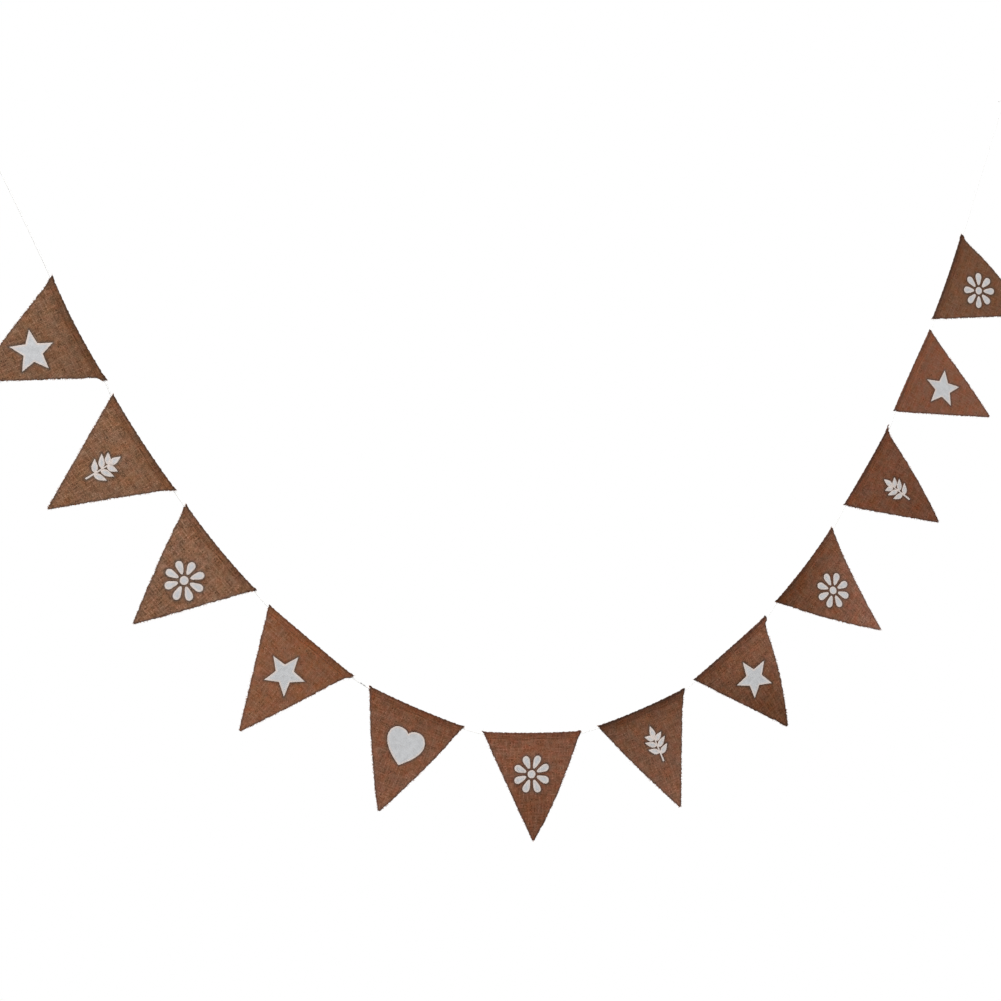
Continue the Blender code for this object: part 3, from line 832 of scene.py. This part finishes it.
def ropeMesh(name, line, material):  # three strands laid together, as one closed body
    line = np.array([tuple(q) for q in line])
    run = np.concatenate([[0], np.cumsum(np.linalg.norm(np.diff(line, axis=0), axis=1))])
    spots = np.linspace(0, run[-1], round(run[-1] / mm / cord["ringStep"]) + 1)
    line = np.stack([np.interp(spots, run, line[:, i]) for i in range(3)], -1)
    tangents = np.gradient(line, axis=0)
    tangents /= np.linalg.norm(tangents, axis=1, keepdims=True)
    strand = cord["diameter"] * mm / 2 / (1 + 2 / math.sqrt(3))  # three round strands touch in one circle
    centre = cord["diameter"] * mm / 2 - strand
    spread = np.radians([-60, -30, 0, 30])  # a strand's points, from the furrow on
    reach = centre * np.cos(spread) + np.sqrt(np.maximum(strand**2 - (centre * np.sin(spread)) ** 2, 0))
    reach = np.tile(np.maximum(reach, cord["diameter"] * mm * cord["furrow"]), 3)
    angles = np.concatenate([spread + third * 2 * math.pi / 3 for third in range(3)])
    normal = np.array([0.0, -1.0, 0.0])
    rings = []
    for place, way, far in zip(line, tangents, spots):
        normal = normal - way * normal.dot(way)
        normal /= np.linalg.norm(normal)
        side = np.cross(way, normal)
        turn = angles + far / (cord["lay"] * mm) * 2 * math.pi
        rings.append(place + (np.outer(np.cos(turn), normal) + np.outer(np.sin(turn), side)) * reach[:, None])
    around, count = len(angles), len(line)
    faces = []
    for first in range(0, (count - 1) * around, around):
        for j in range(around):
            after = (j + 1) % around
            faces.append((first + j, first + after, first + around + after, first + around + j))
    faces += [tuple(range(around))[::-1], tuple(range((count - 1) * around, count * around))]
    mesh = bpy.data.meshes.new(name)
    mesh.from_pydata(np.concatenate(rings).tolist(), [], faces)
    shares = np.tile(np.arange(around) / around, count)
    addFlatPlaces(mesh, "alongCord", np.stack([np.repeat(spots, around), shares], -1))
    mesh.materials.append(material)
    mesh.shade_smooth()
    return linked(name, mesh), line


def newMaterial(name, inputs, build):
    material = bpy.data.materials.new(name)
    material.use_nodes = True
    tree = material.node_tree
    shader = tree.nodes["Principled BSDF"]
    for socket, value in inputs.items():
        shader.inputs[socket].default_value = value
    for socket, source in build(tree).items():
        tree.links.new(source, shader.inputs[socket])
    return material


usual = (0.3, 0.7)  # where most of a noise's values lie
fromMean = (0.5, 0.7, 0.0)  # a noise's mean counts as none
weave = {
    "halfYarn": 0.44,  # a yarn's half width, as a share of the pitch, so that small holes stay between
    "rise": 0.6,  # how much a yarn stands up where it is on top
    "tone": (0.11, 7.31, 4.0),  # a noise's turns for each crossing, along a yarn and across, and its detail
    "fleck": (0.7, 3.9, 1.0),
    "fibre": (0.8, 0.11),  # its length and width in pitches
    "twist": 0.3,  # how far the fibres slant across their yarn, in radians
    "fibreRelief": 0.35,
    "toneSpread": 0.6,
    "fibreSpread": 0.4,
    "leastTone": 0.25,
    # the holes between the yarns are painted dark, as shade
    "holeHeight": 0.28,
    "holeShade": 0.3,
    "fleckSpan": (0.67, 0.73),
    "fleckTone": 0.32,  # bits of bark in the jute
    "rimTone": 0.56,  # darker toward the cut edges, and a little greyer too
    "rimReach": (0.3, 4.5),
    "rimSaturation": 0.88,
    "rimGreyReach": (0.3, 5.0),
    "patchSize": 0.022,  # metres
    "patchTone": (0.91, 1.09),
    "patchRust": (0.92, 1.08),  # grey to rusty
    "blotchSize": 0.011,
    "blotchTone": (0.97, 1.03),
    "blotchHue": (0.506, 0.494),
    "yarnSaturation": (1.1, 0.9),
    "roughness": (1.0, 0.82),
    "bump": 0.7,
    "bumpHeight": 0.35,
}


def weaveGroup():  # plain weave of round yarns, over one and under one, read from the cloth's flat place
    tree = bpy.data.node_groups.new("plainWeave", "ShaderNodeTree")
    for label in ("Height", "Tone", "Fibre", "Fleck"):
        tree.interface.new_socket(label, in_out="OUTPUT", socket_type="NodeSocketFloat")
    uv = addNode(tree, "ShaderNodeUVMap", uv_map="clothFlat")
    yarns = addNode(tree, "ShaderNodeVectorMath", {0: uv, 3: 1000 / cloth["yarnPitch"]}, operation="SCALE")
    shifted = addNode(tree, "ShaderNodeVectorMath", {0: yarns, 1: (0.5, 0.5, 0)})
    nearest = addNode(tree, "ShaderNodeVectorMath", {0: shifted}, operation="FLOOR")
    local = addNode(tree, "ShaderNodeVectorMath", {0: yarns, 1: nearest}, operation="SUBTRACT")
    total = addNode(tree, "ShaderNodeVectorMath", {0: nearest, 1: (1, 1, 0)}, 1, operation="DOT_PRODUCT")
    parity = addNode(tree, "ShaderNodeMath", {0: total, 1: 2.0}, operation="FLOORED_MODULO")
    sign = addNode(tree, "ShaderNodeMath", {0: parity, 1: -2.0, 2: 1.0}, operation="MULTIPLY_ADD")
    scaled = addNode(tree, "ShaderNodeVectorMath", {0: local, 3: 1 / weave["halfYarn"]}, operation="SCALE")
    squared = addNode(tree, "ShaderNodeVectorMath", {0: scaled, 1: scaled}, operation="MULTIPLY")
    domed = addNode(tree, "ShaderNodeVectorMath", {0: (1, 1, 0), 1: squared}, operation="SUBTRACT")
    domed = addNode(tree, "ShaderNodeVectorMath", {0: domed, 1: (0, 0, 0)}, operation="MAXIMUM")
    angle = addNode(tree, "ShaderNodeVectorMath", {0: local, 3: math.pi}, operation="SCALE")
    waves = addNode(tree, "ShaderNodeVectorMath", {0: angle}, operation="COSINE")
    signed = addNode(tree, "ShaderNodeVectorMath", {0: waves, 3: sign}, operation="SCALE")
    dome = addNode(tree, "ShaderNodeSeparateXYZ", {0: domed}).node.outputs
    wave = addNode(tree, "ShaderNodeSeparateXYZ", {0: signed}).node.outputs
    warpRise = addNode(tree, "ShaderNodeMath", {0: wave[1], 1: weave["rise"], 2: 1.0},
                       operation="MULTIPLY_ADD")
    weftRise = addNode(tree, "ShaderNodeMath", {0: wave[0], 1: -weave["rise"], 2: 1.0},
                       operation="MULTIPLY_ADD")
    warp = addNode(tree, "ShaderNodeMath", {0: dome[0], 1: warpRise}, operation="MULTIPLY")
    weft = addNode(tree, "ShaderNodeMath", {0: dome[1], 1: weftRise}, operation="MULTIPLY")
    onWarp = addNode(tree, "ShaderNodeMath", {0: warp, 1: weft}, operation="GREATER_THAN")
    top = addNode(tree, "ShaderNodeMath", {0: warp, 1: weft}, operation="MAXIMUM")
    height = addNode(tree, "ShaderNodeMath", {0: top, 1: 1 / (1 + weave["rise"])}, operation="MULTIPLY")
    made = {"Height": height}
    for label in ("Tone", "Fleck"):
        along, own, detail = weave[label.lower()]
        ways = []  # along the weft, then along the warp, with each yarn's own number aside
        for alongWay, ownWay, shift in [((along, 0, 0), (0, own, 0), (0, 0, 4.1)),
                                        ((0, along, 0), (own, 0, 0), (31.7, 12.9, 4.1))]:
            yarn = addNode(tree, "ShaderNodeVectorMath", {0: nearest, 1: ownWay, 2: shift},
                           operation="MULTIPLY_ADD")
            ways.append(addNode(tree, "ShaderNodeVectorMath", {0: yarns, 1: alongWay, 2: yarn},
                                operation="MULTIPLY_ADD"))
        place = addNode(tree, "ShaderNodeMix", {0: onWarp, 4: ways[0], 5: ways[1]}, 1, data_type="VECTOR")
        made[label] = addNode(tree, "ShaderNodeTexNoise",
                              {"Vector": place, "Scale": 1.0, "Detail": detail, "Roughness": 0.7})
    long, wide = weave["fibre"]
    fine = [addNode(tree, "ShaderNodeMapping",
                    {"Vector": yarns, "Rotation": (0, 0, weave["twist"]), "Scale": size}, vector_type="TEXTURE")
            for size in [(long, wide, 1), (wide, long, 1)]]
    place = addNode(tree, "ShaderNodeMix", {0: onWarp, 4: fine[0], 5: fine[1]}, 1, data_type="VECTOR")
    made["Fibre"] = addNode(tree, "ShaderNodeTexNoise", {"Vector": place, "Scale": 1.0, "Detail": 2.0})
    addNode(tree, "NodeGroupOutput", made)
    return tree


weaveTree = weaveGroup()


def wovenNodes(tree):
    return addNode(tree, "ShaderNodeGroup", node_tree=weaveTree).node.outputs


def hessianNodes(tree):  # a range's numbers are its source, where it starts and ends, and what they become
    woven = wovenNodes(tree)
    # the cloth's colour, with the painted shade that the sheet carries
    colour = addNode(tree, "ShaderNodeAttribute", attribute_name="clothColour")
    edge = addNode(tree, "ShaderNodeAttribute", out=2, attribute_name="cutDistance")
    uneven = addNode(tree, "ShaderNodeAttribute", out=2, attribute_name="uneven")
    place = addNode(tree, "ShaderNodeTexCoord", out=3)
    yarnTone = addNode(tree, "ShaderNodeMapRange", enumerate((woven["Tone"], *fromMean, weave["toneSpread"])),
                       clamp=False)
    fibres = addNode(tree, "ShaderNodeMapRange", enumerate((woven["Fibre"], *fromMean, weave["fibreSpread"])),
                     clamp=False)
    varied = addNode(tree, "ShaderNodeMath", {0: yarnTone, 1: fibres})
    value = addNode(tree, "ShaderNodeMath", {0: varied, 1: uneven, 2: 1.0}, operation="MULTIPLY_ADD")
    value = addNode(tree, "ShaderNodeMath", {0: value, 1: weave["leastTone"]}, operation="MAXIMUM")
    patches = addNode(tree, "ShaderNodeTexNoise",
                      {"Vector": place, "Scale": 1 / weave["patchSize"], "Detail": 3.0, "Roughness": 0.6})
    blotches = addNode(tree, "ShaderNodeTexNoise",
                       {"Vector": place, "Scale": 1 / weave["blotchSize"], "Detail": 2.0})
    for source, span, tone, shape in [
        (patches, usual, weave["patchTone"], "LINEAR"),
        (blotches, usual, weave["blotchTone"], "LINEAR"),
        (woven["Height"], (0.0, weave["holeHeight"]), (weave["holeShade"], 1.0), "LINEAR"),
        (woven["Fleck"], weave["fleckSpan"], (1.0, weave["fleckTone"]), "LINEAR"),
        (edge, weave["rimReach"], (weave["rimTone"], 1.0), "SMOOTHSTEP"),
    ]:
        factor = addNode(tree, "ShaderNodeMapRange", enumerate((source, *span, *tone)),
                         interpolation_type=shape)
        value = addNode(tree, "ShaderNodeMath", {0: value, 1: factor}, operation="MULTIPLY")
    hue = addNode(tree, "ShaderNodeMapRange", enumerate((blotches, *usual, *weave["blotchHue"])))
    soft = addNode(tree, "ShaderNodeMapRange", enumerate((woven["Tone"], *usual, *weave["yarnSaturation"])))
    for source, span, tone in [(patches, usual, weave["patchRust"]),
                               (edge, weave["rimGreyReach"], (weave["rimSaturation"], 1.0))]:
        factor = addNode(tree, "ShaderNodeMapRange", enumerate((source, *span, *tone)))
        soft = addNode(tree, "ShaderNodeMath", {0: soft, 1: factor}, operation="MULTIPLY")
    tinted = addNode(tree, "ShaderNodeHueSaturation",
                     {"Hue": hue, "Saturation": soft, "Value": value, "Color": colour})
    rough = addNode(tree, "ShaderNodeMapRange", enumerate((woven["Fibre"], *usual, *weave["roughness"])))
    bump = addNode(tree, "ShaderNodeMath", {0: woven["Fibre"], 1: weave["fibreRelief"], 2: woven["Height"]},
                   operation="MULTIPLY_ADD")
    normal = addNode(tree, "ShaderNodeBump",
                     {"Strength": weave["bump"], "Distance": weave["bumpHeight"] * mm, "Height": bump})
    return {"Base Color": tinted, "Roughness": rough, "Normal": normal}


def inkNodes(tree):
    woven = wovenNodes(tree)
    place = addNode(tree, "ShaderNodeTexCoord", out=3)
    patches = addNode(tree, "ShaderNodeTexNoise",
                      {"Vector": place, "Scale": ink["patchScale"], "Detail": 4.0, "Roughness": 0.7})
    edge = addNode(tree, "ShaderNodeAttribute", out=2, attribute_name="printEdge")
    ridge = addNode(tree, "ShaderNodeMapRange", enumerate((edge, *ink["ridge"], 1.0, 0.0)),
                    interpolation_type="SMOOTHSTEP")
    cover = addNode(tree, "ShaderNodeMapRange", enumerate((woven["Height"], *ink["missed"])))
    ridged, plain, missed = (linear(ink[label]) for label in ("ridgeColour", "colour", "missedColour"))
    laid = addNode(tree, "ShaderNodeMix", {0: ridge, 6: ridged, 7: plain}, 2, data_type="RGBA")
    base = addNode(tree, "ShaderNodeMix", {0: cover, 6: missed, 7: laid}, 2, data_type="RGBA")
    tone = addNode(tree, "ShaderNodeMapRange", enumerate((patches, *usual, *ink["patchTone"])))
    tinted = addNode(tree, "ShaderNodeHueSaturation", {"Value": tone, "Color": base})
    rough = addNode(tree, "ShaderNodeMapRange", enumerate((patches, *usual, *ink["roughness"])))
    normal = addNode(tree, "ShaderNodeBump",
                     {"Strength": ink["bump"], "Distance": ink["bumpHeight"] * mm, "Height": woven["Height"]})
    return {"Base Color": tinted, "Roughness": rough, "Normal": normal}


def cordNodes(tree):
    uv = addNode(tree, "ShaderNodeUVMap", uv_map="alongCord")
    fine = addNode(tree, "ShaderNodeVectorMath", {0: uv, 1: cord["fibres"]}, operation="MULTIPLY")
    fibre = addNode(tree, "ShaderNodeTexNoise", {"Vector": fine, "Scale": 1.0, "Detail": 2.0})
    tone = addNode(tree, "ShaderNodeMapRange", enumerate((fibre, *cord["fibreSpan"], *cord["tone"])))
    place = addNode(tree, "ShaderNodeTexCoord", out=3)
    for spot, reach, dark in cord["darkSpots"]:
        far = addNode(tree, "ShaderNodeVectorMath", {0: place, 1: spot}, 1, operation="DISTANCE")
        spotTone = addNode(tree, "ShaderNodeMapRange", {0: far, 1: 0.0, 2: reach * mm, 3: dark, 4: 1.0},
                        interpolation_type="SMOOTHSTEP")
        tone = addNode(tree, "ShaderNodeMath", {0: tone, 1: spotTone}, operation="MULTIPLY")
    tinted = addNode(tree, "ShaderNodeHueSaturation", {"Value": tone, "Color": linear(cord["colour"])})
    rough = addNode(tree, "ShaderNodeMapRange", enumerate((fibre, *cord["fibreSpan"], *cord["roughness"])))
    normal = addNode(tree, "ShaderNodeBump",
                     {"Strength": 0.5, "Distance": cord["bumpHeight"] * mm, "Height": fibre})
    return {"Base Color": tinted, "Roughness": rough, "Normal": normal}


def looseNodes(tree, kind):
    colour = addNode(tree, "ShaderNodeAttribute", attribute_name="clothColour")
    place = addNode(tree, "ShaderNodeTexCoord", out=3)
    patches = addNode(tree, "ShaderNodeTexNoise", {"Vector": place, "Scale": fray["patchScale"], "Detail": 2.0})
    tone = addNode(tree, "ShaderNodeMapRange", enumerate((patches, *usual, *kind["tones"])))
    rough = addNode(tree, "ShaderNodeMapRange", enumerate((patches, *usual, *fray["roughness"])))
    tinted = addNode(tree, "ShaderNodeHueSaturation",
                     {"Saturation": kind["saturation"], "Value": tone, "Color": colour})
    return {"Base Color": tinted, "Roughness": rough}


def yarnNodes(tree):
    return looseNodes(tree, fray)


def fibreNodes(tree):
    return looseNodes(tree, fuzz)


def threadNodes(tree):
    place = addNode(tree, "ShaderNodeTexCoord", out=3)
    twist = addNode(tree, "ShaderNodeTexNoise", {"Vector": place, "Scale": stitch["twistScale"], "Detail": 1.0})
    tone = addNode(tree, "ShaderNodeMapRange", enumerate((twist, *usual, *stitch["tones"])))
    rough = addNode(tree, "ShaderNodeMapRange", enumerate((twist, *usual, *stitch["roughness"])))
    tinted = addNode(tree, "ShaderNodeHueSaturation", {"Value": tone, "Color": linear(stitch["colour"])})
    return {"Base Color": tinted, "Roughness": rough}


# Jute is spun dry and hairy, so the cloth has no gloss: the eye gets uneven yarns, streaks and flecks, and
# the holes between the yarns are painted dark, as shade.
hessian = newMaterial("jute hessian, plain woven", {"Specular IOR Level": 0.12}, hessianNodes)
# Cut yarns open out, so the tufts are dull; their colour is painted paler than the cloth to offset the shade on
# their thin strands, and the rim behind them is darker.
frayed = newMaterial("jute yarn, cut and frayed", {"Specular IOR Level": 0.1}, yarnNodes)
# A single jute fibre is smooth and silky, so the loose hairs catch the light and look paler than the cloth.
loose = newMaterial("jute fibre, loose and silky", {"Specular IOR Level": 0.25}, fibreNodes)
# Thick matt ink lies on the yarns and misses the holes, so the weave shows, and the stencil's edge leaves a
# ridge.
printed = newMaterial("white screen ink, matt", {"Specular IOR Level": 0.3}, inkNodes)
# Bleached cotton scatters the light softly, and its laid strands give the cord fine slanting furrows.
cotton = newMaterial("cotton cord, bleached and laid", {"Specular IOR Level": 0.2}, cordNodes)
# Twisted cotton is finer and firmer than jute, so each stitch reads as a small clean bar, a shade darker.
sewing = newMaterial("cotton sewing thread, brown", {"Specular IOR Level": 0.2}, threadNodes)
print("materials made")


# The camera stands where the photograph was taken from.
camera = {"target": (0.8645, 0.0, -0.5560), "azimuth": -19.90, "elevation": -4.60, "distance": 3.179,
          "focalPixels": 1870.0, "imagePixels": 1001.0, "sensor": 36.0}  # metres and degrees


def placeCamera():
    a, b = math.radians(camera["azimuth"]), math.radians(camera["elevation"])
    back = Vector((math.sin(a) * math.cos(b), -math.cos(a) * math.cos(b), math.sin(b)))
    right = Vector((math.cos(a), math.sin(a), 0))
    data = bpy.data.cameras.new("camera")
    data.sensor_width = camera["sensor"]
    data.lens = camera["sensor"] * camera["focalPixels"] / camera["imagePixels"]
    seen = bpy.data.objects.new("camera", data)
    turn = Matrix((right, back.cross(right), back)).transposed().to_4x4()
    seen.matrix_world = Matrix.Translation(Vector(camera["target"]) + back * camera["distance"]) @ turn
    bpy.context.scene.collection.objects.link(seen)
    bpy.context.scene.camera = seen


# Soft light from the upper left, a weak fill, and one behind so that the backs show, in metres and watts.
studio = {
    "lights": {
        "key": {"place": (-1.6, -3.6, 4.25), "size": (3.2, 3.2), "power": 480},
        "fill": {"place": (3.2, -4.4, -0.4), "size": (2.6, 2.6), "power": 50},
        "back": {"place": (0.9, 4.6, 1.8), "size": (3.0, 3.0), "power": 160},
    },
    "ambient": 0.26,
    "floorHeight": -2.0,
    "floorRadius": 2.9,
    "floorColour": "#dcdcda",
    "floorRoughness": 0.8,
}


def placeLight(name, place, size, power):
    data = bpy.data.lights.new(name, "AREA")
    data.shape = "RECTANGLE"
    data.size, data.size_y = size
    data.energy = power
    light = bpy.data.objects.new(name, data)
    way = Vector(camera["target"]) - Vector(place)
    light.matrix_world = Matrix.Translation(place) @ way.to_track_quat("-Z", "Y").to_matrix().to_4x4()
    bpy.context.scene.collection.objects.link(light)


def makeWorld():  # white to the camera, and a dim even light to everything else
    world = bpy.data.worlds.new("studio")
    world.use_nodes = True
    tree = world.node_tree
    tree.nodes.clear()
    seen = addNode(tree, "ShaderNodeLightPath")
    white = addNode(tree, "ShaderNodeBackground", {"Color": (1, 1, 1, 1), "Strength": 1.0})
    soft = addNode(tree, "ShaderNodeBackground", {"Color": (1, 1, 1, 1), "Strength": studio["ambient"]})
    both = addNode(tree, "ShaderNodeMixShader", {0: seen, 1: soft, 2: white})
    addNode(tree, "ShaderNodeOutputWorld", {0: both})
    bpy.context.scene.world = world


def makeFloor():
    around, radius = 96, studio["floorRadius"]
    ring = [(math.cos(i * 2 * math.pi / around) * radius + camera["target"][0],
             math.sin(i * 2 * math.pi / around) * radius, studio["floorHeight"]) for i in range(around)]
    mesh = bpy.data.meshes.new("floor")
    mesh.from_pydata(ring, [], [tuple(range(around))])
    material = bpy.data.materials.new("matt white floor paint")
    material.use_nodes = True
    shader = material.node_tree.nodes["Principled BSDF"]
    shader.inputs["Base Color"].default_value = linear(studio["floorColour"])
    shader.inputs["Roughness"].default_value = studio["floorRoughness"]
    mesh.materials.append(material)
    linked("floor", mesh)


bpy.context.scene.view_settings.view_transform = "Standard"
placeCamera()
for name, light in studio["lights"].items():
    placeLight(name, light["place"], light["size"], light["power"])
makeWorld()
makeFloor()
print("studio ready")

stitching, fraying = stitchTree(), frayTree()
for number, (node, p) in enumerate(pennants.items(), 1):
    look = finishes[node]
    outlines = [inkedOutline(outline, look) for outline in motifs[look.motif]()]
    sheet = makeCloth(node + "_cloth", p, look, outlines, hessian)
    motif = makePrint(node + "_print", p, look, outlines, printed)
    sewn = makeStitches(node + "_stitches", p, look, stitching, sewing)
    edges = makeFray(node + "_fray", p, look, fraying, frayed, number * 100)
    hairs = makeFuzz(node + "_fuzz", p, look, fraying, loose, number * 100 + 5)
    pieces = [sheet, motif, sewn, edges, hairs]
    for piece in pieces:
        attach(piece, "root")
    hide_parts(node)
    print(node, "woven, printed and sewn,", len(sheet.data.polygons), "faces")

for node, place in endLoops.items():
    loop, _ = ropeMesh(node + "_rope", loopLine(place), cotton)
    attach(loop, "root")
    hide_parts(node)
rope, path = ropeMesh("cord_rope", cordRoute(), cotton)
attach(rope, "root")
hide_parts("cord")
